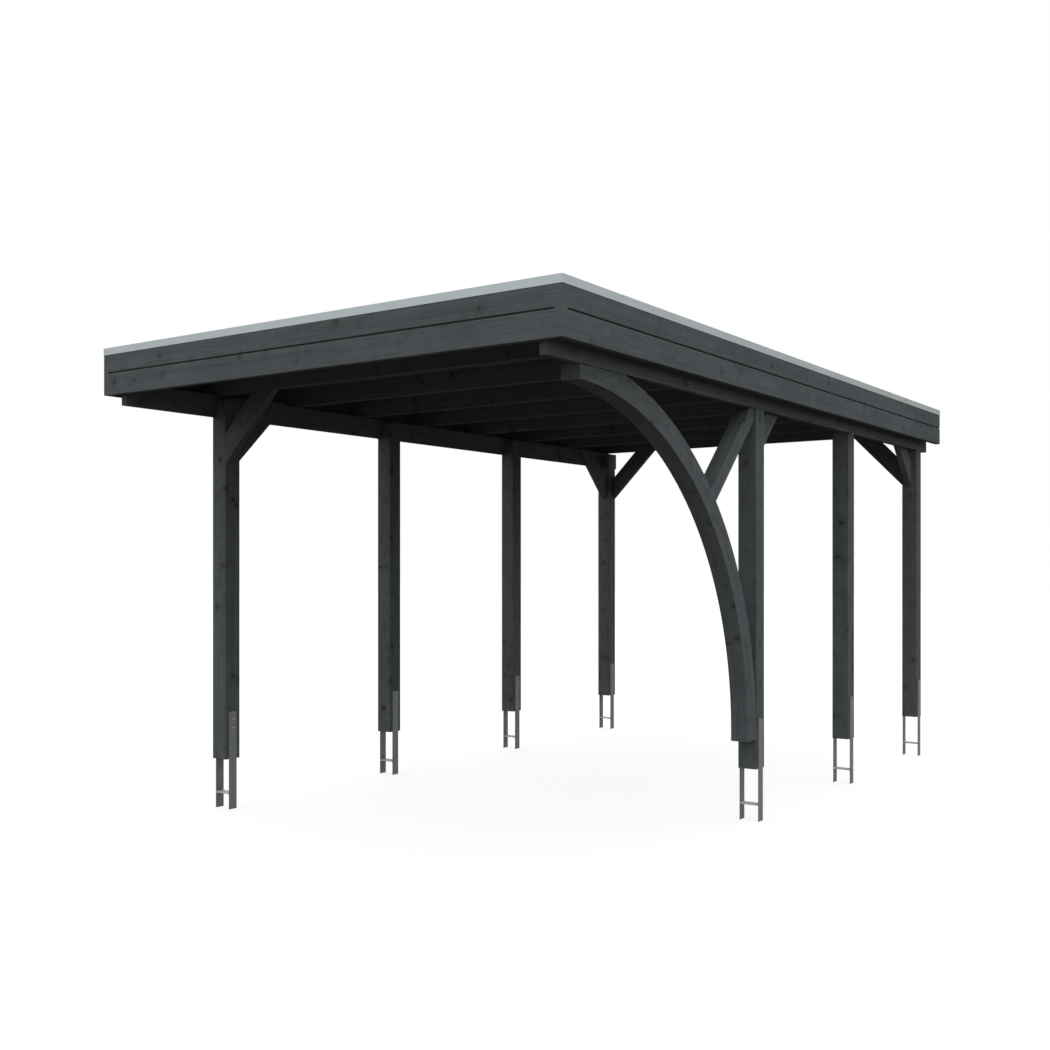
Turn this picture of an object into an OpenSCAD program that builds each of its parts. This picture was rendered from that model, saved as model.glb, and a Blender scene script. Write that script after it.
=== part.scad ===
// Single carport of laminated timber with a flat roof and a quarter-round arch in place of one post.
// Millimetres, Z up, front toward -Y, origin under the middle of the roof at the foot of the anchors.

/* [Roof] */
// width over the edge trim
roof_w = 3210; // [2400:10:4400]
// length over the edge trim
roof_l = 5540; // [4820:10:7600]
// height of the clear opening, up to the underside of the side beams
head_room = 2447; // [2250:1:2900]
// thickness of the roof boards
deck_t = 18; // [12:1:30]
// thickness of the roof sheet
membrane_t = 1.5; // [1:0.1:4]
// height of the fascia above the roof sheet
upstand = 64.5; // [30:0.5:120]

/* [Fascia] */
// height of the fascia boards
fascia_h = 273; // [180:1:340]
// thickness of the fascia boards
fascia_t = 40; // [24:1:60]
// height of the milled line above the bottom of the fascia
groove_z = 126; // [60:1:160]
// width of the milled line
groove_w = 15; // [6:0.5:24]
// depth of the milled line
groove_d = 7; // [3:0.5:14]
// distance of the milled line from the front corners
groove_stop = 42; // [20:1:80]

/* [Edge trim] */
// height of the trim seen on the fascia
trim_face = 41; // [25:1:70]
// thickness of the trim sheet
trim_sheet = 1.5; // [1:0.1:3]
// width of the trim over the top of the fascia
trim_lip = 55; // [44:1:90]
// width of the drip edge on the roof sheet at the back
drip_lip = 60; // [30:1:100]

/* [Posts] */
// side of the square posts
post_w = 115; // [90:1:160]
// distance of the posts from the roof edge at the sides
side_overhang = 110; // [70:1:300]
// distance of the first posts from the roof edge at the front
front_overhang = 711; // [500:1:1000]
// distance of the last posts from the roof edge at the back
back_overhang = 147; // [80:1:400]
// height of the post feet
post_foot = 313; // [200:1:420]
// free height between the post tops and the rafters
tongue_gap = 27; // [5:1:60]

/* [Beams] */
// thickness of the side beams
purlin_t = 40; // [28:1:60]
// height of the side beams
purlin_h = 136; // [100:1:200]
// thickness of the rafters
rafter_t = 45; // [30:1:70]
// height of the rafters
rafter_h = 115; // [80:1:200]

/* [Braces] */
// thickness of the knee braces
brace_t = 45; // [30:1:60]
// width of the knee braces
brace_w = 130; // [90:1:180]
// distance of the brace feet under the side beams
brace_drop = 294; // [200:1:400]

/* [Arch] */
// outer radius of the arch
arch_r = 1950; // [1500:5:2050]
// depth of the arch in its own plane
arch_d = 120; // [80:1:160]
// thickness of the arch
arch_t = 105; // [60:1:115]
// depth of the flat that seats the arch under the side beam
arch_seat = 47; // [15:1:70]
// distance of the plumb front end of the arch from the top of its curve
arch_end = 27; // [0:1:150]
// height of the arch foot
arch_foot_z = 489; // [330:1:600]
// thickness and width of the strut between arch and post
strut_w = 90; // [60:1:115]
// height of the strut where it bears on the post
strut_heel = 71; // [30:1:100]

/* [Anchors] */
// height of the anchor flats
anchor_h = 608; // [500:1:800]
// width of the anchor flats
anchor_w = 60; // [40:1:80]
// thickness of the anchor flats
anchor_t = 5; // [4:0.5:10]
// height of the cross plate
anchor_web_z = 95; // [40:1:150]
// thickness of the cross plate
anchor_web_t = 6; // [4:0.5:10]

/* [Hidden] */
diag = sqrt(2);
round_facets = 180;
post_bays = 3;
rafter_bays = 7;
// how far a cut runs past the face it starts from
overcut = fascia_t / 4;
// half the milled line's width where its flanks run out past the face
groove_flare = groove_w / 2 * (1 + overcut / groove_d);
timber = [0.47, 0.49, 0.50];
board_grey = [0.30, 0.31, 0.32];
metal = [0.72, 0.75, 0.78];
sheet_black = [0.16, 0.16, 0.17];
zinc = [0.60, 0.61, 0.60];

// heights
rafter_z = head_room + purlin_h;
deck_z = rafter_z + rafter_h;
membrane_z = deck_z + deck_t;
roof_z = membrane_z + membrane_t;
fascia_top = roof_z + upstand;
fascia_z = fascia_top - fascia_h;
line_z = fascia_z + groove_z;
trim_z = fascia_top + trim_sheet - trim_face;
tongue_top = rafter_z - tongue_gap;

// plan
front_y = -roof_l / 2;
back_y = roof_l / 2;
fascia_w = roof_w - 2 * trim_sheet;
fascia_l = roof_l - 2 * trim_sheet;
fascia_front = -fascia_l / 2;
fascia_back = fascia_l / 2;
inner_x = fascia_w / 2 - fascia_t;
inner_front = fascia_front + fascia_t;
post_x = roof_w / 2 - side_overhang;
post_in = post_x - post_w;
first_post = front_y + front_overhang;
last_post = back_y - back_overhang - post_w;
post_pitch = (last_post - first_post) / post_bays;
beam_in = post_x - purlin_t;
rafter_pitch = (last_post + post_w - rafter_t - first_post) / rafter_bays;

// arch and strut
arch_post = first_post + post_pitch;
arch_y = arch_post - arch_r;
arch_z = head_room + arch_seat - arch_r;
// straight part at the foot of the arch, at least a quarter of the arch's depth
arch_foot = max(arch_z - arch_foot_z, arch_d / 4);
// the strut stands in the middle of the post's width
strut_in = post_x - (post_w + strut_w) / 2;
// plane inside the pieces that are cut to the arch
disc_in = min(post_x - arch_t, strut_in) - overcut;
strut_reach = arch_r / 2;
strut_top = strut_w * diag - strut_heel;

// braces
brace_z = head_room - brace_drop;
brace_cut = brace_w * diag;
brace_rise = rafter_z - brace_z;

// a block between two opposite corners
module block(a, b) {
  translate(a) cube(b - a);
}

// a plan outline drawn up to a height
module slab(z, h, outline) {
  translate([0, 0, z]) linear_extrude(height = h) polygon(outline);
}

// an outline in the Y-Z plane drawn along X
module across(x, t, outline) {
  translate([x, 0, 0]) rotate([90, 0, 90]) linear_extrude(height = t) polygon(outline);
}

// an outline in the X-Z plane drawn along Y
module along(y, t, outline) {
  translate([0, y + t, 0]) rotate([90, 0, 0]) linear_extrude(height = t) polygon(outline);
}

// plan outline of the front piece of a mitred border of depth d
function front_strip(w, l, d) =
  [[-w / 2, -l / 2], [w / 2, -l / 2], [w / 2 - d, d - l / 2], [d - w / 2, d - l / 2]];

// plan outline of a side piece of a mitred border of depth d
function side_strip(s, w, l, d) =
  [[s * w / 2, -l / 2], [s * w / 2, l / 2], [s * (w / 2 - d), l / 2], [s * (w / 2 - d), d - l / 2]];

// left edge of a piece that spans from a to b on side s
function low_x(s, a, b) = s > 0 ? a : -b;

// outline of the V-shaped milled line in a face at p that looks to side d
function groove_outline(p, d) = [
  [p - d * groove_d, line_z],
  [p + d * overcut, line_z + groove_flare],
  [p + d * overcut, line_z - groove_flare]
];

// outline of a brace at 45 degrees that stands on a face at p and leans to side d
function brace_outline(p, d) = [
  [p, brace_z],
  [p + d * brace_rise, rafter_z],
  [p + d * (brace_rise - brace_cut), rafter_z],
  [p, brace_z + brace_cut]
];

module fascia_front_board() {
  difference() {
    slab(fascia_z, fascia_h, front_strip(fascia_w, fascia_l, fascia_t));
    across(groove_stop - fascia_w / 2, fascia_w - 2 * groove_stop,
      groove_outline(fascia_front, -1));
  }
}

module fascia_side_board(s) {
  difference() {
    slab(fascia_z, fascia_h, side_strip(s, fascia_w, fascia_l, fascia_t));
    along(fascia_front + groove_stop, fascia_l - groove_stop + overcut,
      groove_outline(s * fascia_w / 2, s));
  }
}

module trim_front_piece() {
  slab(fascia_top, trim_sheet, front_strip(roof_w, roof_l, trim_lip));
  slab(trim_z, fascia_top - trim_z, front_strip(roof_w, roof_l, trim_sheet));
}

module trim_side_piece(s) {
  slab(fascia_top, trim_sheet, side_strip(s, roof_w, roof_l, trim_lip));
  slab(trim_z, fascia_top - trim_z, side_strip(s, roof_w, roof_l, trim_sheet));
}

module trim_back_piece() {
  block([-inner_x, back_y - drip_lip, roof_z], [inner_x, back_y, roof_z + trim_sheet]);
  block([-inner_x, fascia_back, roof_z + trim_sheet - trim_face], [inner_x, back_y, roof_z]);
}

// a layer of the roof between the fascia boards
module roof_layer(z, top) {
  block([-inner_x, inner_front, z], [inner_x, fascia_back, top]);
}

module purlin(s) {
  x = low_x(s, beam_in, post_x);
  block([x, inner_front, head_room], [x + purlin_t, fascia_back, rafter_z]);
}

module rafter(y) {
  block([-inner_x, y, rafter_z], [inner_x, y + rafter_t, deck_z]);
}

// square post with a tongue beside the side beam
module post(s, k) {
  y = first_post + k * post_pitch;
  x = low_x(s, post_in, post_x);
  tongue_x = low_x(s, post_in, beam_in);
  block([x, y, post_foot], [x + post_w, y + post_w, head_room]);
  block([tongue_x, y, head_room], [tongue_x + post_w - purlin_t, y + post_w, tongue_top]);
}

// two flats on the sides of a post and the cross plate between them
module anchor(s, k) {
  y = first_post + k * post_pitch + post_w / 2 - anchor_w / 2;
  x = low_x(s, post_in, post_x);
  block([x - anchor_t, y, 0], [x, y + anchor_w, anchor_h]);
  block([x + post_w, y, 0], [x + post_w + anchor_t, y + anchor_w, anchor_h]);
  block([x, y, anchor_web_z], [x + post_w, y + anchor_w, anchor_web_z + anchor_web_t]);
}

// brace between the inner face of a post and a rafter
module cross_brace(s, y) {
  along(y, brace_t, brace_outline(s * post_in, -s));
}

// brace between a post and the inner face of a side beam, to the back when d is positive
module side_brace(s, y, d) {
  across(low_x(s, beam_in - brace_t, beam_in), brace_t, brace_outline(y, d));
}

// round disc about the arch's centre
module arch_disc(r) {
  translate([disc_in, arch_y, arch_z]) rotate([0, 90, 0])
    cylinder(h = post_x + overcut - disc_in, r = r, $fn = round_facets);
}

module arch_beam() {
  intersection() {
    difference() {
      arch_disc(arch_r);
      arch_disc(arch_r - arch_d);
    }
    block([post_x - arch_t, arch_y + arch_end, arch_z], [post_x, arch_post, head_room]);
  }
  block([post_x - arch_t, arch_post - arch_d, arch_z - arch_foot], [post_x, arch_post, arch_z]);
}

module strut_beam() {
  difference() {
    across(strut_in, strut_w, [
      [arch_post, head_room - strut_heel],
      [arch_post, head_room],
      [arch_post - strut_top, head_room],
      [arch_post - strut_top - strut_reach, head_room - strut_reach],
      [arch_post - strut_reach, head_room - strut_heel - strut_reach]
    ]);
    arch_disc(arch_r);
  }
}

module fascia_front() color(timber) fascia_front_board();
module fascia_left() color(timber) fascia_side_board(-1);
module fascia_right() color(timber) fascia_side_board(1);
module trim_front() color(metal) trim_front_piece();
module trim_left() color(metal) trim_side_piece(-1);
module trim_right() color(metal) trim_side_piece(1);
module trim_back() color(metal) trim_back_piece();
module roof_deck() color(board_grey) roof_layer(deck_z, membrane_z);
module roof_membrane() color(sheet_black) roof_layer(membrane_z, roof_z);
module purlin_left() color(timber) purlin(-1);
module purlin_right() color(timber) purlin(1);
module rafter_1() color(timber) rafter(inner_front);
module rafter_2() color(timber) rafter(first_post);
module rafter_3() color(timber) rafter(first_post + rafter_pitch);
module rafter_4() color(timber) rafter(first_post + 2 * rafter_pitch);
module rafter_5() color(timber) rafter(first_post + 3 * rafter_pitch);
module rafter_6() color(timber) rafter(first_post + 4 * rafter_pitch);
module rafter_7() color(timber) rafter(first_post + 5 * rafter_pitch);
module rafter_8() color(timber) rafter(first_post + 6 * rafter_pitch);
module rafter_9() color(timber) rafter(first_post + 7 * rafter_pitch);
module post_left_1() color(timber) post(-1, 0);
module post_left_2() color(timber) post(-1, 1);
module post_left_3() color(timber) post(-1, 2);
module post_left_4() color(timber) post(-1, 3);
module post_right_2() color(timber) post(1, 1);
module post_right_3() color(timber) post(1, 2);
module post_right_4() color(timber) post(1, 3);
module anchor_left_1() color(zinc) anchor(-1, 0);
module anchor_left_2() color(zinc) anchor(-1, 1);
module anchor_left_3() color(zinc) anchor(-1, 2);
module anchor_left_4() color(zinc) anchor(-1, 3);
module anchor_right_2() color(zinc) anchor(1, 1);
module anchor_right_3() color(zinc) anchor(1, 2);
module anchor_right_4() color(zinc) anchor(1, 3);
module arch() color(timber) arch_beam();
module arch_strut() color(timber) strut_beam();
module cross_brace_left_front() color(timber) cross_brace(-1, first_post);
module cross_brace_left_back() color(timber) cross_brace(-1, last_post + post_w - brace_t);
module cross_brace_right_back() color(timber) cross_brace(1, last_post + post_w - brace_t);
module side_brace_left_front() color(timber) side_brace(-1, first_post + post_w, 1);
module side_brace_left_back() color(timber) side_brace(-1, last_post, -1);
module side_brace_right_front() color(timber) side_brace(1, arch_post + post_w, 1);
module side_brace_right_back() color(timber) side_brace(1, last_post, -1);

fascia_front();
fascia_left();
fascia_right();
trim_front();
trim_left();
trim_right();
trim_back();
roof_deck();
roof_membrane();
purlin_left();
purlin_right();
rafter_1();
rafter_2();
rafter_3();
rafter_4();
rafter_5();
rafter_6();
rafter_7();
rafter_8();
rafter_9();
post_left_1();
post_left_2();
post_left_3();
post_left_4();
post_right_2();
post_right_3();
post_right_4();
anchor_left_1();
anchor_left_2();
anchor_left_3();
anchor_left_4();
anchor_right_2();
anchor_right_3();
anchor_right_4();
arch();
arch_strut();
cross_brace_left_front();
cross_brace_left_back();
cross_brace_right_back();
side_brace_left_front();
side_brace_left_back();
side_brace_right_front();
side_brace_right_back();
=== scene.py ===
"""Looks of a single timber carport.

Stained laminated timber, a metal edge trim, a rubber roof sheet and galvanised post anchors.
"""

import math
import random

import bmesh
import bpy
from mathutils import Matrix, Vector


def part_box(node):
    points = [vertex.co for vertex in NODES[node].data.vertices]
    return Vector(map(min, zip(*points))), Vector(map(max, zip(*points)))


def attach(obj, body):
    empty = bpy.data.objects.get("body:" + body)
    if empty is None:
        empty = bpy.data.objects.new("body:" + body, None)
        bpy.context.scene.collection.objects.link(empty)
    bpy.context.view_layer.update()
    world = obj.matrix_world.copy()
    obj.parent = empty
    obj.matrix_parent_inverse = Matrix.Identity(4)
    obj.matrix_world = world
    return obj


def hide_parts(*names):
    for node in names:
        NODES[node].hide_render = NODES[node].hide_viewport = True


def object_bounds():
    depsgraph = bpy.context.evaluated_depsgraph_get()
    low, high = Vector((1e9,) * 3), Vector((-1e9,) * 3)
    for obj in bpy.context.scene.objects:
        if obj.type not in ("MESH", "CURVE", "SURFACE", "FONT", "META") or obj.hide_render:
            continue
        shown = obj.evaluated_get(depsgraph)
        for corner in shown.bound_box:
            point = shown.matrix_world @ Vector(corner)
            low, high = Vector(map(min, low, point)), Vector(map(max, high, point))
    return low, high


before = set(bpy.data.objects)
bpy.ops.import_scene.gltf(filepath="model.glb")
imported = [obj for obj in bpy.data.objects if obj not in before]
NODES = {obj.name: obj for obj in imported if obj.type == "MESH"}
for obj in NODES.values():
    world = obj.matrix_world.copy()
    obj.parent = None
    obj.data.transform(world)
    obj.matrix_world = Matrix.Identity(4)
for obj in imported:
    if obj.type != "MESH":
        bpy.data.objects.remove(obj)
CAD_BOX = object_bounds()
X, Y, Z = Vector((1, 0, 0)), Vector((0, 1, 0)), Vector((0, 0, 1))
MM = 0.001

# sizes read from the solids
ROOF_LOW, ROOF_HIGH = CAD_BOX
ROOF_W = ROOF_HIGH.x - ROOF_LOW.x
ROOF_L = ROOF_HIGH.y - ROOF_LOW.y
HEAD_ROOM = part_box("purlin_right")[0].z
FASCIA_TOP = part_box("fascia_front")[1].z
TRIM_SHEET = ROOF_HIGH.z - FASCIA_TOP
TRIM_FACE = ROOF_HIGH.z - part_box("trim_front")[0].z
TRIM_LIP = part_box("trim_front")[1].y - ROOF_LOW.y
POST_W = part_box("post_left_1")[1].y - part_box("post_left_1")[0].y

# timber: eased arrises, glued layers and boards
EASE = 1.5 * MM
SEAT_EASE = 9 * MM
ROUND_STEPS = 2
POST_LAYERS = 2.98  # just under three, so that rounding gives three whole layers
POST_PLY = POST_W / POST_LAYERS
ARCH_PLY = 20 * MM
ARCH_PLY_START = 0.49 * ARCH_PLY
ARCH_STEPS = 120
SOLID_PLY = 10.0  # thicker than any member, so that it is one layer
RAFTER_COUNT = 9
BOARD_COUNT = 29
BOARD_JOINT = 3.5 * MM
# painted shade in the fascia's milled line: a darker stain share for its downward faces
GROOVE_PAINTED_SHADE = 2.3

# limits for the choice of points, edges and faces
WELD = 0.01 * MM
TOUCH = 0.05 * MM
FLAT_ANGLE = math.radians(0.3)
ARRIS_ANGLE = 0.5
ALONG = 0.9
END_FACING = 0.6
UNDER_FACING = -0.2

# edge trim and roof sheet
TRIM_GAUGE = TRIM_SHEET * 0.8
TRIM_ROUND = 3 * MM
TRIM_HEM = 7 * MM
TRIM_FOLD = 14 * MM
DRIP_KICK = 4 * MM
SHEET_SWELL = 1.2 * MM
SWELL_EASE = 0.3
SHEET_COVE = 12 * MM
SHEET_GAP = 2 * MM
SHEET_BELOW_TRIM = 4 * MM
LAP_LIFT = 1.6 * MM

# anchors and their bolts
IRON_EASE = 1.2 * MM
IRON_EDGE = 40 * MM
PLATE_SKIN = 0.4 * MM
WELD_BEAD = 4 * MM
BOLT_HEIGHTS = (0.508, 0.561)
BOLT_FLATS = 10 * MM
BOLT_RADIUS = 3 * MM
WASHER_RADIUS = 7 * MM
WASHER_T = 1.2 * MM
WASHER_RIM = 0.4 * MM
HEAD_H = 4 * MM
HEAD_FLANK = 0.8
HEAD_CROWN = 0.86
NUT_H = 5 * MM
THREAD_OUT = 7 * MM
ROUND_SIDES = 20
HEX_SIDES = 6

# tones
GRAZING_TINT = (0.40, 0.40, 0.34, 1)
DARK_STAIN = (0.020, 0.020, 0.019, 1)

# light and floor
HORIZON_LEVEL = 1.2
ZENITH_GAIN = 1.1
SKY_COLOUR = (0.98, 1.0, 1.01, 1)
FLOOR_SEEN = (0.80, 0.80, 0.80, 1)
FLOOR_BOUNCE = (0.119, 0.100, 0.098, 1)
FLOOR_FILL = 0.042
FILL_COLOUR = (1.05, 1.0, 0.96, 1)
FLOOR_GLOW = 0.82
FLOOR_HALF = 60
WHITE = (1, 1, 1, 1)


class Shader:
    """A material with short calls for its nodes."""

    def __init__(self, name):
        self.material = bpy.data.materials.new(name)
        self.material.use_nodes = True
        self.tree = self.material.node_tree
        self.surface = self.tree.nodes["Principled BSDF"]

    def feed(self, socket, value):
        if isinstance(value, bpy.types.NodeSocket):
            self.tree.links.new(value, socket)
        else:
            socket.default_value = value

    def node(self, kind, settings=None, **inputs):
        made = self.tree.nodes.new("ShaderNode" + kind)
        for key, value in (settings or {}).items():
            setattr(made, key, value)
        for key, value in inputs.items():
            self.feed(made.inputs[key.replace("_", " ")], value)
        return made

    def math(self, operation, *values):
        made = self.node("Math", {"operation": operation})
        for socket, value in zip(made.inputs, values):
            self.feed(socket, value)
        return made.outputs[0]

    def vector(self, operation, *values):
        made = self.node("VectorMath", {"operation": operation})
        for socket, value in zip(made.inputs, values):
            self.feed(socket, value)
        return made.outputs["Value" if operation == "LENGTH" else "Vector"]

    def attribute(self, name, output="Fac"):
        return self.node("Attribute", {"attribute_name": name}).outputs[output]

    def place(self):
        return self.node("TexCoord").outputs["Object"]

    def split(self, vector):
        return self.node("SeparateXYZ", Vector=vector).outputs

    def noise(self, place, stretch, detail=2.0):
        where = self.vector("MULTIPLY", place, stretch)
        return self.node("TexNoise", Vector=where, Scale=1.0, Detail=detail).outputs["Fac"]

    def range(self, value, low, high, to_low=0.0, to_high=1.0):
        made = self.node("MapRange", {"interpolation_type": "SMOOTHSTEP"}, Value=value)
        bounds = {"From Min": low, "From Max": high, "To Min": to_low, "To Max": to_high}
        for key, bound in bounds.items():
            self.feed(made.inputs[key], bound)
        return made.outputs["Result"]

    def sum(self, *terms):
        """Adds terms of the form (socket, weight), each about its middle value of a half."""
        total = 0.5
        for value, weight in terms:
            part = self.math("MULTIPLY", self.math("SUBTRACT", value, 0.5), weight)
            total = self.math("ADD", total, part)
        return total

    def blend(self, share, low, high):
        made = self.node("Mix", {"data_type": "RGBA"})
        for index, value in ((0, share), (6, low), (7, high)):
            self.feed(made.inputs[index], value)
        return made.outputs[2]

    def stain(self, colour, share, weight, darker):
        """Lays a darker colour over a share of the surface."""
        return self.blend(self.math("MULTIPLY", share, weight), colour, darker)

    def bump(self, height, distance, strength):
        made = self.node("Bump", Strength=strength, Distance=distance, Height=height)
        self.feed(self.surface.inputs["Normal"], made.outputs["Normal"])

    def finish(self, **inputs):
        for key, value in inputs.items():
            self.feed(self.surface.inputs[key.replace("_", " ")], value)
        return self.material


def ply_place(s):
    """Place in the wood, moved at random for each member and each of its glued layers."""
    farthest = (40.0, 0.16, 0.16)
    grain = s.attribute("grain", "Vector")
    layer = s.math("ROUND", s.math("DIVIDE", s.split(grain)["Y"], s.attribute("ply")))
    key = s.node("CombineXYZ", X=layer, Y=s.attribute("seed")).outputs[0]
    chance = s.node("TexWhiteNoise", {"noise_dimensions": "2D"}, Vector=key).outputs["Color"]
    shift = s.vector("MULTIPLY", s.vector("SUBTRACT", chance, (0.5, 0.5, 0.5)), farthest)
    return s.vector("ADD", grain, shift)


def knots(s, wood):
    """Shares of each knot's dark core and of the stain around it. Solid members have fewer knots."""
    cell = Vector((0.22, 0.075, 0.06))
    shape = Vector((cell.x * 1.2, cell.y, cell.z * 0.75))
    smallest, largest = 0.001, 0.016
    scaled = s.vector("DIVIDE", wood, cell)
    found = s.node("TexVoronoi", Vector=scaled, Scale=1.0)
    away = s.vector("SUBTRACT", scaled, found.outputs["Position"])
    reach = s.vector("LENGTH", s.vector("MULTIPLY", away, shape))
    rare = s.range(s.attribute("ply"), 0.0, SOLID_PLY, 0.2, 0.48)
    radius = s.range(s.split(found.outputs["Color"])["X"], rare, 1.0, smallest, largest)
    ratio = s.math("DIVIDE", reach, radius)
    return s.range(ratio, 1.3, 0.6), s.range(ratio, 4.5, 0.9)


def wander(s, wood):
    """Bends straight grain in slow waves."""
    sway = 0.05
    shift = s.math("MULTIPLY", s.math("SUBTRACT", s.noise(wood, (1.6, 3.0, 3.0)), 0.5), sway)
    return s.vector("ADD", wood, s.node("CombineXYZ", Y=shift, Z=shift).outputs[0])


def growth_rings(s, wood, halo):
    """Rings about the pith, which bend around the knots."""
    ring_width, waver, knot_bend = 0.0042, 0.03, 0.009
    parts = s.split(wood)
    pith = s.vector("LENGTH", s.node("CombineXYZ", Y=parts["Y"], Z=parts["Z"]).outputs[0])
    wave = s.math("MULTIPLY", s.noise(wood, (0.9, 7.0, 7.0)), waver)
    bent = s.math("ADD", pith, s.math("ADD", wave, s.math("MULTIPLY", halo, knot_bend)))
    return s.range(s.math("PINGPONG", s.math("DIVIDE", bent, ring_width), 1.0), 0.15, 0.95)


def timber(name, low, high, dark):
    """Stained softwood: fibres and streaks along the member, whiskers across it, rings and knots."""
    s = Shader(name)
    wood = wander(s, ply_place(s))
    core, halo = knots(s, wood)
    ring = growth_rings(s, wood, halo)
    streak = s.noise(wood, (0.45, 34.0, 34.0), 3.0)
    fibre = s.noise(wood, (4.0, 330.0, 330.0), 2.0)
    cloud = s.noise(wood, (2.2, 7.0, 7.0), 3.0)
    figure = s.noise(wood, (13.0, 9.0, 9.0), 1.0)
    line = s.range(s.noise(wood, (0.8, 110.0, 110.0), 1.0), 0.56, 0.74)
    whisker = s.range(s.noise(wood, (44.0, 20.0, 20.0), 1.0), 0.68, 0.86)
    tone = s.sum((ring, 0.12), (streak, 0.65), (fibre, 0.35), (cloud, 0.6), (figure, 0.36))
    colour = s.blend(tone, low, high)
    # the end share darkens end grain, and on the fascia also the milled line's downward faces as painted
    # shade
    stains = ((line, 0.28), (whisker, 0.46), (halo, 0.30), (core, 0.85), (s.attribute("end"), 0.3))
    for share, weight in stains:
        colour = s.stain(colour, share, weight, dark)
    s.bump(s.sum((fibre, 0.7), (ring, 0.35), (core, -0.4)), distance=0.0006, strength=0.6)
    rough = s.range(s.sum((streak, 0.6), (fibre, 0.8)), 0.2, 0.8, 0.72, 0.92)
    return s.finish(Base_Color=colour, Roughness=rough, Specular_IOR_Level=0.0)


def coated_metal(name, low, high):
    """Rolled sheet with a faint brushed line, dull patches and a satin gloss."""
    s = Shader(name)
    place = s.place()
    cloud = s.noise(place, (3.0, 3.0, 9.0), 3.0)
    brushed = s.noise(place, (14.0, 14.0, 900.0), 2.0)
    speck = s.noise(place, (260.0, 260.0, 260.0), 1.0)
    tone = s.sum((cloud, 0.8), (brushed, 0.5), (speck, 0.2))
    s.bump(brushed, distance=0.0002, strength=0.25)
    rough = s.range(s.sum((cloud, 0.6), (speck, 0.4)), 0.2, 0.8, 0.38, 0.56)
    return s.finish(Base_Color=s.blend(tone, low, high), Roughness=rough, Metallic=1.0,
                    Specular_Tint=GRAZING_TINT)


def galvanised(name, low, high, metallic):
    """Hot-dipped zinc: crystal flakes, cloudy runs and dull white bloom."""
    s = Shader(name)
    place = s.place()
    flake = s.split(s.node("TexVoronoi", Vector=place, Scale=90.0).outputs["Color"])["X"]
    cloud = s.noise(place, (11.0, 11.0, 4.0), 4.0)
    grit = s.noise(place, (420.0, 420.0, 420.0), 2.0)
    tone = s.sum((flake, 0.35), (cloud, 0.9), (grit, 0.25))
    s.bump(s.sum((grit, 0.5), (cloud, 0.5)), distance=0.0004, strength=0.35)
    rough = s.range(s.sum((flake, 0.7), (cloud, 0.5)), 0.2, 0.8, 0.52, 0.74)
    return s.finish(Base_Color=s.blend(tone, low, high), Roughness=rough, Metallic=metallic,
                    Specular_IOR_Level=0.1)


def rubber_sheet(name, low, high):
    """Black roofing rubber with a fine emboss, dust in the low places and dried water marks."""
    s = Shader(name)
    place = s.place()
    dust = s.noise(place, (1.3, 1.3, 1.3), 5.0)
    mark = s.noise(place, (5.0, 4.0, 4.0), 3.0)
    emboss = s.noise(place, (700.0, 700.0, 700.0), 1.0)
    tone = s.sum((dust, 1.3), (mark, 0.5), (emboss, 0.2))
    s.bump(s.sum((emboss, 0.8), (mark, 0.6)), distance=0.0005, strength=0.4)
    rough = s.range(dust, 0.3, 0.7, 0.5, 0.75)
    return s.finish(Base_Color=s.blend(tone, low, high), Roughness=rough, Specular_IOR_Level=0.3)


STAIN = timber("grey_stained_timber", (0.040, 0.045, 0.047, 1), (0.096, 0.106, 0.109, 1), DARK_STAIN)
BOARDS = timber("grey_stained_boards", (0.040, 0.043, 0.044, 1), (0.094, 0.098, 0.099, 1), DARK_STAIN)
TRIM = coated_metal("edge_trim_metal", (0.362, 0.406, 0.423, 1), (0.484, 0.528, 0.545, 1))
ZINC = galvanised("galvanised_flats", (0.114, 0.120, 0.110, 1), (0.170, 0.176, 0.165, 1), 0.7)
# a lighter copy of the galvanised zinc for the cross plate and bolts: painted light on their tops and heads
LIT_ZINC_PAINTED = galvanised("bright_zinc", (0.29, 0.30, 0.305, 1), (0.42, 0.43, 0.435, 1), 0.25)
RUBBER = rubber_sheet("roof_rubber", (0.012, 0.012, 0.013, 1), (0.040, 0.040, 0.040, 1))


def add_piece(name, bm, material, stands_for=(), smooth_below=20):
    """Turns a built mesh into a piece that rides on the frame."""
    mesh = bpy.data.meshes.new(name)
    bmesh.ops.recalc_face_normals(bm, faces=bm.faces)
    bm.to_mesh(mesh)
    bm.free()
    mesh.materials.append(material)
    mesh.shade_smooth()
    mesh.set_sharp_from_angle(angle=math.radians(smooth_below))
    piece = bpy.data.objects.new(name, mesh)
    bpy.context.scene.collection.objects.link(piece)
    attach(piece, "root")
    if stands_for:
        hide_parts(*stands_for)
    return piece


def seed_of(name):
    """A steady number for a piece, so that no two members share their grain."""
    return random.Random(name).uniform(0, 90)


def set_grain(piece, coordinates, seeds, ply, end_grain_and_shade_faces):
    """Stores where each point lies along and across its own member, its seed and layer, and a darkening
    share per face: end grain, and painted shade in the fascia's milled line.
    """
    mesh = piece.data
    grain = mesh.attributes.new("grain", "FLOAT_VECTOR", "POINT")
    grain.data.foreach_set("vector", [value for point in coordinates for value in point])
    mesh.attributes.new("seed", "FLOAT", "POINT").data.foreach_set("value", seeds)
    mesh.attributes.new("ply", "FLOAT", "POINT").data.foreach_set("value", [ply] * len(mesh.vertices))
    mesh.attributes.new("end", "FLOAT", "FACE").data.foreach_set("value", end_grain_and_shade_faces)


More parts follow.
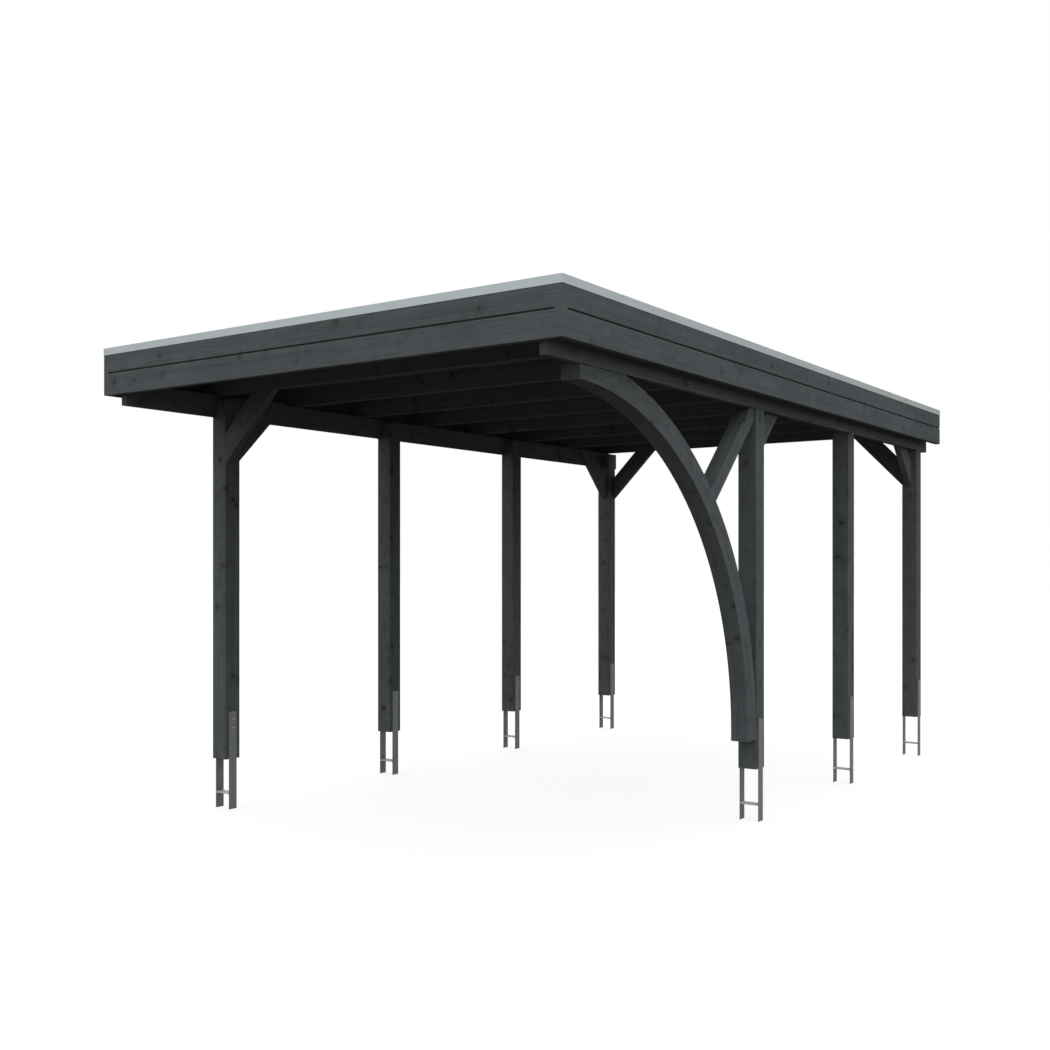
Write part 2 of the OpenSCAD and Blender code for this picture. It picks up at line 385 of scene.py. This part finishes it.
def straight_grain(piece, axis, across, ply):
    """Grain that runs along an axis. Layers are stacked along the second direction."""
    deep = axis.cross(across)
    corners = [Vector(c) for c in piece.bound_box]
    middle = sum(corners, Vector()) / len(corners)
    local = [(v.co - middle) for v in piece.data.vertices]
    seeds = [seed_of(piece.name)] * len(local)
    ends = [float(abs(f.normal.dot(axis)) > END_FACING) for f in piece.data.polygons]
    set_grain(piece, [(p.dot(axis), p.dot(across), p.dot(deep)) for p in local], seeds, ply, ends)


def solid_of(node):
    """A copy of a CAD solid's bare shape with whole flat faces."""
    source = NODES[node].data
    bm = bmesh.new()
    points = [bm.verts.new(v.co) for v in source.vertices]
    for face in source.polygons:
        bm.faces.new([points[i] for i in face.vertices])
    bmesh.ops.remove_doubles(bm, verts=bm.verts, dist=WELD)
    bmesh.ops.dissolve_limit(bm, angle_limit=FLAT_ANGLE, verts=bm.verts, edges=bm.edges)
    return bm


def ease_edges(bm, chosen, width=EASE):
    """Rounds the chosen arrises as a planer does."""
    arrises = [e for e in bm.edges if len(e.link_faces) == 2 and e.calc_face_angle() > ARRIS_ANGLE]
    edges = [e for e in arrises if chosen(e)]
    bmesh.ops.bevel(bm, geom=edges, offset=width, offset_type="OFFSET", segments=ROUND_STEPS, profile=0.5,
                    affect="EDGES", clamp_overlap=True)


def timber_member(node, axis, across, ply=SOLID_PLY):
    """A beam, post or brace with eased arrises in place of its CAD solid."""
    bm = solid_of(node)
    ease_edges(bm, lambda e: True)
    piece = add_piece(node + "_timber", bm, STAIN, [node])
    straight_grain(piece, axis, across, ply)


def fascia_board(node, axis):
    """A fascia board whose lower arrises are eased, with its milled line and mitre kept sharp. The downward
    faces of the milled line take a darker stain share, which is painted shade.
    """
    low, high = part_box(node)

    def below(edge):
        start, end = (v.co for v in edge.verts)
        return max(start.z, end.z) - low.z < MM and abs((end - start).normalized().dot(axis)) > ALONG

    bm = solid_of(node)
    ease_edges(bm, below)
    piece = add_piece(node + "_timber", bm, STAIN, [node])
    straight_grain(piece, axis, Z, SOLID_PLY)
    ends = piece.data.attributes["end"].data
    # painted shade: the downward faces inside the milled line get a darker stain share
    for face in piece.data.polygons:
        if low.z + MM < face.center.z < high.z - MM and face.normal.z < UNDER_FACING:
            ends[face.index].value = GROOVE_PAINTED_SHADE


def rounded_section(width, height, low_round, high_round):
    """Outline of a rectangle with rounded corners about its middle, anticlockwise."""
    points = []
    for turn, (sx, sy) in enumerate(((1, 1), (-1, 1), (-1, -1), (1, -1))):
        radius = high_round if sy > 0 else low_round
        for step in range(ROUND_STEPS + 1):
            angle = math.pi / 2 * (turn + step / ROUND_STEPS)
            points.append((sx * (width / 2 - radius) + radius * math.cos(angle),
                           sy * (height / 2 - radius) + radius * math.sin(angle)))
    return points


def arch_shape():
    """Centre, outer radius, depth and seat angle of the arch, read from its solid."""
    low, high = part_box("arch")
    points = [v.co for v in NODES["arch"].data.vertices]
    foot = min(p.y for p in points if p.z - low.z < MM)
    spring = max(p.z for p in points if high.y - p.y < TOUCH)
    seat = max(p.y for p in points if HEAD_ROOM - p.z < MM)
    back, rise = high.y - seat, HEAD_ROOM - spring
    outer = (back ** 2 + rise ** 2) / (2 * back)
    centre = Vector(((low.x + high.x) / 2, high.y - outer, spring))
    return centre, outer, high.y - foot, math.asin(rise / outer)


def arch_stations(centre, outer, depth, seat_angle):
    """Sections of the arch as (middle, way out, inner, outer, arris), from its plumb end to its foot."""
    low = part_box("arch")[0]
    inner, end = outer - depth, low.y - centre.y
    plumb = Vector((centre.x, low.y, centre.z))
    stations = [(plumb, Z, math.sqrt(inner ** 2 - end ** 2), HEAD_ROOM - centre.z, SEAT_EASE)]
    turns = {seat_angle} | {math.pi / 2 * k / ARCH_STEPS for k in range(ARCH_STEPS + 1)}
    for angle in sorted(turns, reverse=True):
        if inner * math.cos(angle) > end + MM:
            seated = angle > seat_angle
            top = (HEAD_ROOM - centre.z) / math.sin(angle) if seated else outer
            way = Vector((0, math.cos(angle), math.sin(angle)))
            stations.append((centre, way, inner, top, SEAT_EASE if seated else EASE))
    stations.append((Vector((centre.x, centre.y, low.z)), Y, inner, outer, EASE))
    return stations


def arch_grain(point, centre, outer):
    """Place along the arc, outward through its glued layers and across it."""
    out = point - centre
    if out.z < 0:
        return out.z, out.y - outer + ARCH_PLY_START, out.x
    return outer * math.atan2(out.z, out.y), math.hypot(out.y, out.z) - outer + ARCH_PLY_START, out.x


def arch_beam():
    """The quarter-round laminated beam, swept along its arc so that the grain follows the curve."""
    low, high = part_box("arch")
    centre, outer, depth, seat_angle = arch_shape()
    bm = bmesh.new()
    rings = []
    for middle, way, inner, top, arris in arch_stations(centre, outer, depth, seat_angle):
        section = rounded_section(high.x - low.x, top - inner, EASE, arris)
        rings.append([bm.verts.new(middle + X * x + way * ((top + inner) / 2 + r)) for x, r in section])
    for a, b in zip(rings, rings[1:]):
        for i in range(len(a)):
            bm.faces.new((a[i - 1], a[i], b[i], b[i - 1]))
    bm.faces.new(rings[0])
    bm.faces.new(rings[-1])
    piece = add_piece("arch_timber", bm, STAIN, ["arch"])
    mesh = piece.data
    ends = [float(f.center.y - low.y < MM or f.center.z - low.z < MM) for f in mesh.polygons]
    set_grain(piece, [arch_grain(v.co, centre, outer) for v in mesh.vertices],
              [seed_of(piece.name)] * len(mesh.vertices), ARCH_PLY, ends)


def bent_sheet(outline, thickness):
    """Closed outline of a bent sheet from the points along its outer side."""
    ways = [(b - a).normalized() for a, b in zip(outline, outline[1:])]
    inner = []
    for point, before, after in zip(outline, ways[:1] + ways, ways + ways[-1:]):
        normals = [Vector((way.y, -way.x)) for way in (before, after)]
        normal = (normals[0] + normals[1]).normalized()
        inner.append(point + normal * thickness / normal.dot(normals[0]))
    return outline + inner[::-1]


def sweep_outline(bm, outline, place_a, place_b):
    """Draws an outline between two ends, each given as a function from outline point to space."""
    near = [bm.verts.new(place_a(p)) for p in outline]
    far = [bm.verts.new(place_b(p)) for p in outline]
    for i in range(len(outline)):
        bm.faces.new((near[i - 1], near[i], far[i], far[i - 1]))
    bm.faces.new(near)
    bm.faces.new(far[::-1])


def roof_boards():
    """Tongued boards laid from front to back, with the open joints that show from below."""
    low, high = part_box("roof_deck")
    width = (high.x - low.x) / BOARD_COUNT
    c = BOARD_JOINT
    bm = bmesh.new()
    coordinates, seeds = [], []
    for k in range(BOARD_COUNT):
        left, right = low.x + k * width, low.x + (k + 1) * width
        corners = ((left, low.z + c), (left + c, low.z), (right - c, low.z), (right, low.z + c),
                   (right, high.z), (left, high.z))
        outline = [Vector(p) for p in corners]
        sweep_outline(bm, outline, lambda p: (p.x, low.y, p.y), lambda p: (p.x, high.y, p.y))
        for y in (low.y, high.y):
            coordinates += [(y, p.y - low.z, p.x - (left + right) / 2) for p in outline]
        seeds += [seed_of(f"board_{k}")] * (2 * len(outline))
    piece = add_piece("roof_boards", bm, BOARDS, ["roof_deck"], smooth_below=10)
    ends = [float(abs(f.normal.y) > ALONG) for f in piece.data.polygons]
    set_grain(piece, coordinates, seeds, SOLID_PLY, ends)


def trim_outline():
    """Section of the edge trim, inward from the roof edge and up: hem, face, rounded top and inner fold."""
    top, bottom, r = ROOF_HIGH.z, ROOF_HIGH.z - TRIM_FACE, TRIM_ROUND
    turns = [math.pi / 6 * k for k in range(4)]
    points = [Vector((TRIM_HEM, bottom)), Vector((0, bottom))]
    points += [Vector((r - r * math.cos(a), top - r + r * math.sin(a))) for a in turns]
    points += [Vector((TRIM_LIP, top)), Vector((TRIM_LIP, top - TRIM_FOLD))]
    return bent_sheet(points, TRIM_GAUGE)


def edge_trim():
    """Mitred trim along the front and both sides."""
    outline = trim_outline()
    half_w, half_l = ROOF_W / 2, ROOF_L / 2
    bm = bmesh.new()
    sweep_outline(bm, outline, lambda p: (p.x - half_w, p.x - half_l, p.y),
                  lambda p: (half_w - p.x, p.x - half_l, p.y))
    add_piece("trim_front_sheet", bm, TRIM, ["trim_front"])
    for node, side in (("trim_left", -1), ("trim_right", 1)):
        bm = bmesh.new()
        sweep_outline(bm, outline, lambda p: (side * (half_w - p.x), p.x - half_l, p.y),
                      lambda p: (side * (half_w - p.x), half_l, p.y))
        add_piece(node + "_sheet", bm, TRIM, [node])


def drip_edge():
    """The low trim at the back, where the roof drains."""
    low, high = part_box("trim_back")
    lip, kick = high.y - low.y, DRIP_KICK
    points = [(0, low.z), (kick, low.z + 3 * kick), (kick, high.z), (lip, high.z)]
    outline = bent_sheet([Vector(p) for p in points], TRIM_GAUGE)
    bm = bmesh.new()
    sweep_outline(bm, outline, lambda p: (low.x, high.y - p.x, p.y), lambda p: (high.x, high.y - p.x, p.y))
    add_piece("trim_back_sheet", bm, TRIM, ["trim_back"])


def roof_sheet():
    """Rubber sheet that lies on the boards and turns up behind the fascia under the trim."""
    low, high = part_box("roof_membrane")
    top, cove, edge = FASCIA_TOP - SHEET_BELOW_TRIM, SHEET_COVE, SHEET_GAP
    drip_lip = high.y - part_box("trim_back")[0].y
    columns, rows = 64, 110
    half = [(low.x + edge, top), (low.x + edge, high.z + cove)]
    half += [(low.x + cove * (1 - math.cos(a)), high.z + cove * (1 - math.sin(a)))
             for a in (math.pi / 6, math.pi / 3, math.pi / 2)]
    half += [((low.x + 2 * cove) * (1 - k / columns), high.z) for k in range(columns)]
    section = half + [(0.0, high.z)] + [(-x, z) for x, z in half[::-1]]
    rng = random.Random(7)
    waves = [(rng.uniform(2, 9), rng.uniform(2, 9), rng.uniform(0, 6.28)) for _ in range(9)]

    def swell(x, y, z):
        if z > high.z + MM:
            return 0
        ease = min(1.0, max(0.0, high.y - y - 2 * drip_lip) / SWELL_EASE)
        return ease * sum(math.sin(a * x + b * y + c) for a, b, c in waves) / len(waves) * SHEET_SWELL

    bm = bmesh.new()
    grid = []
    for k in range(rows + 1):
        y = low.y + (high.y - low.y) * k / rows
        grid.append([bm.verts.new((x, y, z + swell(x, y, z))) for x, z in section])
    for a, b in zip(grid, grid[1:]):
        for i in range(1, len(a)):
            bm.faces.new((a[i - 1], a[i], b[i], b[i - 1]))
    front = [(low.y + edge, top), (low.y + edge, high.z + cove), (low.y + cove / 2, high.z + cove / 3),
             (low.y + 3 * cove, high.z + LAP_LIFT)]
    lap = [[bm.verts.new((x, y, z)) for y, z in front] for x in (low.x + 2 * edge, high.x - 2 * edge)]
    for i in range(1, len(front)):
        bm.faces.new((lap[0][i - 1], lap[1][i - 1], lap[1][i], lap[0][i]))
    piece = add_piece("roof_sheet", bm, RUBBER, ["roof_membrane"], smooth_below=40)
    solid = piece.modifiers.new("thickness", "SOLIDIFY")
    solid.thickness = high.z - low.z
    solid.offset = 1


def turned(bm, place, outward, sides, levels, turn=0.0):
    """A round or many-sided piece on a plane, from its levels of (height, radius)."""
    side = outward.cross(Z)
    angles = [turn + 2 * math.pi * k / sides for k in range(sides)]
    ways = [math.cos(a) * side + math.sin(a) * Z for a in angles]
    rings = [[bm.verts.new(place + outward * lift + r * way) for way in ways] for lift, r in levels]
    for a, b in zip(rings, rings[1:]):
        for k in range(sides):
            bm.faces.new((a[k - 1], a[k], b[k], b[k - 1]))
    bm.faces.new(rings[0])
    bm.faces.new(rings[-1])


def anchor_bolts(node):
    """Two through bolts: heads with washers on the outer flat, nuts and thread ends on the inner one."""
    low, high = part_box(node)
    corner = BOLT_FLATS / math.sqrt(3)
    rng = random.Random(node)
    bm, washers = bmesh.new(), bmesh.new()
    for height in BOLT_HEIGHTS:
        for x, outward, is_head in ((high.x, X, low.x > 0), (low.x, -X, low.x < 0)):
            place = Vector((x, (low.y + high.y) / 2, height))
            turned(washers, place, outward, ROUND_SIDES,
                   ((0, WASHER_RADIUS), (WASHER_T - WASHER_RIM, WASHER_RADIUS),
                    (WASHER_T, WASHER_RADIUS - WASHER_RIM)))
            seat = place + outward * WASHER_T
            deep = HEAD_H if is_head else NUT_H
            turned(bm, seat, outward, HEX_SIDES,
                   ((0, corner), (deep * HEAD_FLANK, corner), (deep, corner * HEAD_CROWN)),
                   rng.uniform(0, math.pi / 3))
            if not is_head:
                turned(bm, seat, outward, ROUND_SIDES,
                       ((0, BOLT_RADIUS), (THREAD_OUT - MM, BOLT_RADIUS), (THREAD_OUT, BOLT_RADIUS - MM)))
    add_piece(node + "_washers", washers, ZINC)
    # bolt heads and nuts in the lighter zinc: a painted highlight
    add_piece(node + "_bolts", bm, LIT_ZINC_PAINTED)


def anchor_iron(node):
    """Two flats with rounded arrises, and the cross plate with its weld seams, in a lighter zinc than the
    flats that paints the light on its top.
    """
    low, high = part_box(node)
    flats = solid_of(node)
    ease_edges(flats, lambda e: e.calc_length() > IRON_EDGE, IRON_EASE)
    add_piece(node + "_flats", flats, ZINC, [node])
    points = [v.co for v in NODES[node].data.vertices]
    levels = [p.z for p in points if low.z + MM < p.z < high.z - MM]
    x0 = min(p.x for p in points if p.x > low.x + MM)
    x1 = max(p.x for p in points if p.x < high.x - MM)
    under, over = min(levels), max(levels)
    skin, bead = PLATE_SKIN, WELD_BEAD
    corners = ((x0, under - bead), (x0 + bead, under - skin), (x1 - bead, under - skin), (x1, under - bead),
               (x1, over + bead), (x1 - bead, over + skin), (x0 + bead, over + skin), (x0, over + bead))
    outline = [Vector(p) for p in corners]
    bm = bmesh.new()
    sweep_outline(bm, outline, lambda p: (p.x, low.y - skin, p.y), lambda p: (p.x, high.y + skin, p.y))
    add_piece(node + "_plate", bm, LIT_ZINC_PAINTED)


def timbers():
    """Every timber member, with the direction of its grain. The arch replaces the first right post."""
    diagonal = math.sqrt(0.5)
    fascia_board("fascia_front", X)
    fascia_board("fascia_left", Y)
    fascia_board("fascia_right", Y)
    for k in range(1, RAFTER_COUNT + 1):
        timber_member(f"rafter_{k}", X, Y)
    for side, sign in (("left", -1), ("right", 1)):
        timber_member(f"purlin_{side}", Y, X)
        for k in range(1 if side == "left" else 2, 5):
            timber_member(f"post_{side}_{k}", Z, Y, POST_PLY)
        for end, d in (("front", 1), ("back", -1)):
            timber_member(f"side_brace_{side}_{end}", Vector((0, d, 1)) * diagonal, X)
            if f"cross_brace_{side}_{end}" in NODES:
                timber_member(f"cross_brace_{side}_{end}", Vector((-sign, 0, 1)) * diagonal, Y)
    timber_member("arch_strut", Vector((0, 1, 1)) * diagonal, Vector((0, 1, -1)) * diagonal, POST_PLY)
    arch_beam()


def irons():
    """The anchors of all posts, with their bolts."""
    for node in sorted(NODES):
        if node.startswith("anchor_"):
            anchor_iron(node)
            anchor_bolts(node)


def camera():
    """The photograph's level view, with the lens shift of its crop."""
    data = bpy.data.cameras.new("camera")
    data.sensor_width = 36.0
    data.lens = 41.40
    data.shift_x, data.shift_y = -0.01926, 0.04095
    data.clip_end = 200.0
    holder = bpy.data.objects.new("camera", data)
    holder.location = (4.4956, -7.1256, 1.5042)
    holder.rotation_euler = (math.radians(90), 0, math.radians(34.3877))
    bpy.context.scene.collection.objects.link(holder)
    bpy.context.scene.camera = holder


def seen_ray(tree):
    """One where a ray comes from the camera, or from a shiny or clear surface."""
    path = tree.nodes.new("ShaderNodeLightPath")
    total = path.outputs["Is Camera Ray"]
    for name in ("Is Glossy Ray", "Is Transmission Ray"):
        most = tree.nodes.new("ShaderNodeMath")
        most.operation = "MAXIMUM"
        tree.links.new(total, most.inputs[0])
        tree.links.new(path.outputs[name], most.inputs[1])
        total = most.outputs[0]
    return total


def sky():
    """Soft light from an overcast sky, brighter overhead, with a white backdrop where it is seen."""
    world = bpy.data.worlds.new("soft_sky")
    world.use_nodes = True
    tree = world.node_tree
    light = tree.nodes["Background"]
    light.inputs["Color"].default_value = SKY_COLOUR
    split = tree.nodes.new("ShaderNodeSeparateXYZ")
    tree.links.new(tree.nodes.new("ShaderNodeTexCoord").outputs["Generated"], split.inputs[0])
    level = tree.nodes.new("ShaderNodeMapRange")
    tree.links.new(split.outputs["Z"], level.inputs["Value"])
    level.inputs["To Min"].default_value = HORIZON_LEVEL
    level.inputs["To Max"].default_value = HORIZON_LEVEL + ZENITH_GAIN
    tree.links.new(level.outputs["Result"], light.inputs["Strength"])
    white = tree.nodes.new("ShaderNodeBackground")
    white.inputs["Color"].default_value = WHITE
    white.inputs["Strength"].default_value = 1.0
    mix = tree.nodes.new("ShaderNodeMixShader")
    tree.links.new(seen_ray(tree), mix.inputs[0])
    tree.links.new(light.outputs[0], mix.inputs[1])
    tree.links.new(white.outputs[0], mix.inputs[2])
    tree.links.new(mix.outputs[0], tree.nodes["World Output"].inputs["Surface"])
    bpy.context.scene.world = world


def floor_white():
    """White where it is seen, with a soft shadow, and darker where it lights the object from below."""
    s = Shader("floor_white")
    seen = seen_ray(s.tree)
    fill = s.math("MULTIPLY", s.math("SUBTRACT", 1.0, seen), FLOOR_FILL)
    s.finish(Base_Color=s.blend(seen, FLOOR_BOUNCE, FLOOR_SEEN), Roughness=1.0, Specular_IOR_Level=0.0,
             Emission_Color=FILL_COLOUR, Emission_Strength=fill)
    glow = s.node("Emission", Color=WHITE, Strength=1.0)
    mix = s.node("MixShader")
    s.feed(mix.inputs[0], s.math("MULTIPLY", seen, FLOOR_GLOW))
    s.feed(mix.inputs[1], s.surface.outputs[0])
    s.feed(mix.inputs[2], glow.outputs[0])
    s.feed(s.tree.nodes["Material Output"].inputs["Surface"], mix.outputs[0])
    return s.material


def floor():
    """A plain floor under the anchors, which takes the object's shadow."""
    bm = bmesh.new()
    bmesh.ops.create_grid(bm, x_segments=8, y_segments=8, size=FLOOR_HALF)
    mesh = bpy.data.meshes.new("floor")
    bm.to_mesh(mesh)
    bm.free()
    mesh.materials.append(floor_white())
    ground = bpy.data.objects.new("floor", mesh)
    bpy.context.scene.collection.objects.link(ground)


timbers()
roof_boards()
roof_sheet()
edge_trim()
drip_edge()
irons()
camera()
sky()
floor()
bpy.context.scene.view_settings.view_transform = "Standard"
